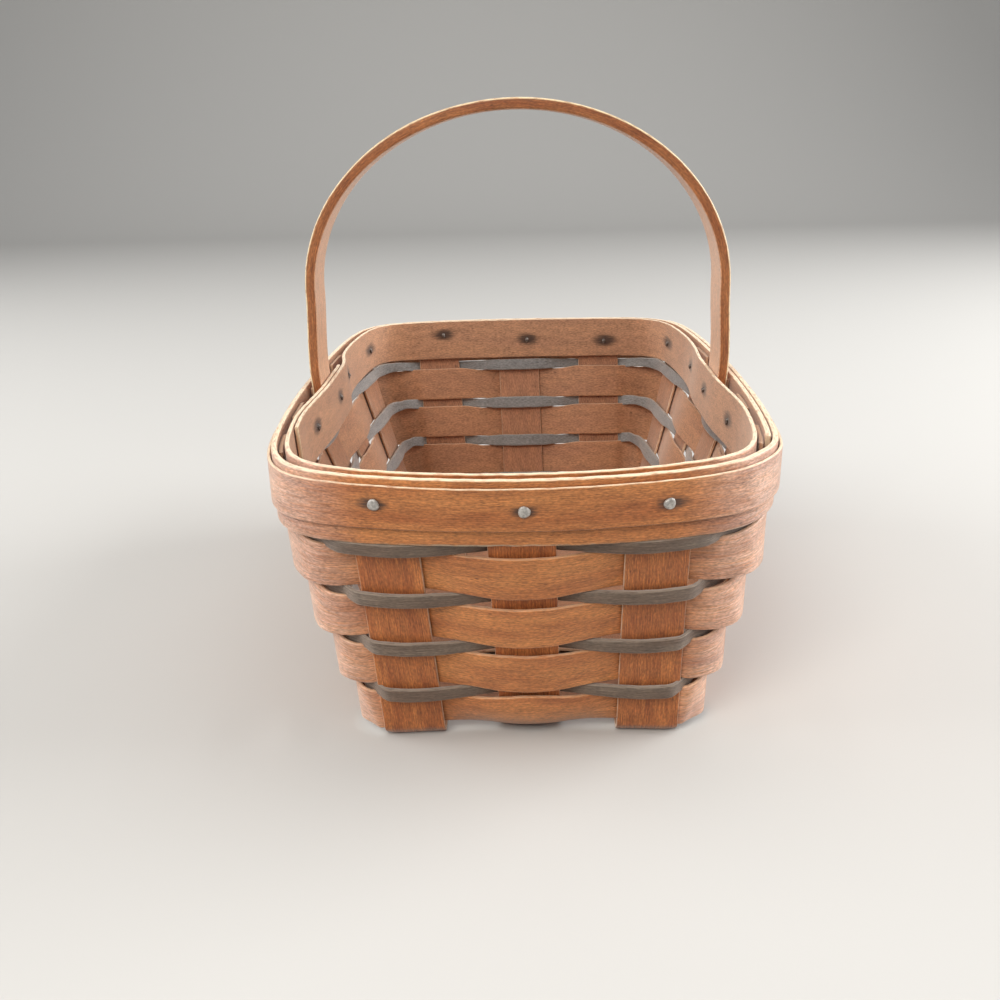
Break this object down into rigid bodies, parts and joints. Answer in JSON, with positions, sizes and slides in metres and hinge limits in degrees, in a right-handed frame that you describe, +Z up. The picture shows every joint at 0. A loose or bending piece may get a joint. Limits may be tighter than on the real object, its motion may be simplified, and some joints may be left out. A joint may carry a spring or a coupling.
{
  "type": "woven wood basket",
  "caption": "Small rectangular splint basket with flaring woven walls, nailed wooden rim bands and a fixed bentwood handle across the middle.",
  "frame": {"origin": "middle of the bounding box's underside, on the surface that the basket stands on", "axes": "+Y along the basket's length, away from the end nearest the camera; +X across it, along the handle's span; +Z up"},
  "size_m": [0.1374, 0.1984, 0.1577],
  "materials": {
    "stake_wood": "stained hardwood splint, satin",
    "weaver_wood": "stained hardwood splint, satin",
    "dyed_wood": "grey-brown dyed hardwood splint, satin",
    "band_wood": "stained hardwood band with pale cut edges, satin",
    "handle_wood": "stained bent hardwood strap, satin",
    "nail_steel": "dull darkened steel"
  },
  "bodies": {
    "root": {"long_stake_left": "stake_wood", "long_stake_centre": "stake_wood", "long_stake_right": "stake_wood", "cross_stake_1": "stake_wood", "cross_stake_2": "stake_wood", "cross_stake_3": "stake_wood", "cross_stake_4": "stake_wood", "cross_stake_5": "stake_wood", "wide_weaver_1": "weaver_wood", "narrow_weaver_1": "dyed_wood", "wide_weaver_2": "weaver_wood", "narrow_weaver_2": "dyed_wood", "wide_weaver_3": "weaver_wood", "narrow_weaver_3": "dyed_wood", "wide_weaver_4": "weaver_wood", "narrow_weaver_4": "dyed_wood", "rim_inner_band": "band_wood", "rim_outer_band": "band_wood", "rim_trim_band": "band_wood", "handle": "handle_wood", "nail_1": "nail_steel", "nail_2": "nail_steel", "nail_3": "nail_steel", "nail_4": "nail_steel", "nail_5": "nail_steel", "nail_6": "nail_steel", "nail_7": "nail_steel", "nail_8": "nail_steel", "nail_9": "nail_steel", "nail_10": "nail_steel", "nail_11": "nail_steel", "nail_12": "nail_steel", "nail_13": "nail_steel", "nail_14": "nail_steel", "nail_15": "nail_steel", "nail_16": "nail_steel"}
  },
  "joints": []
}
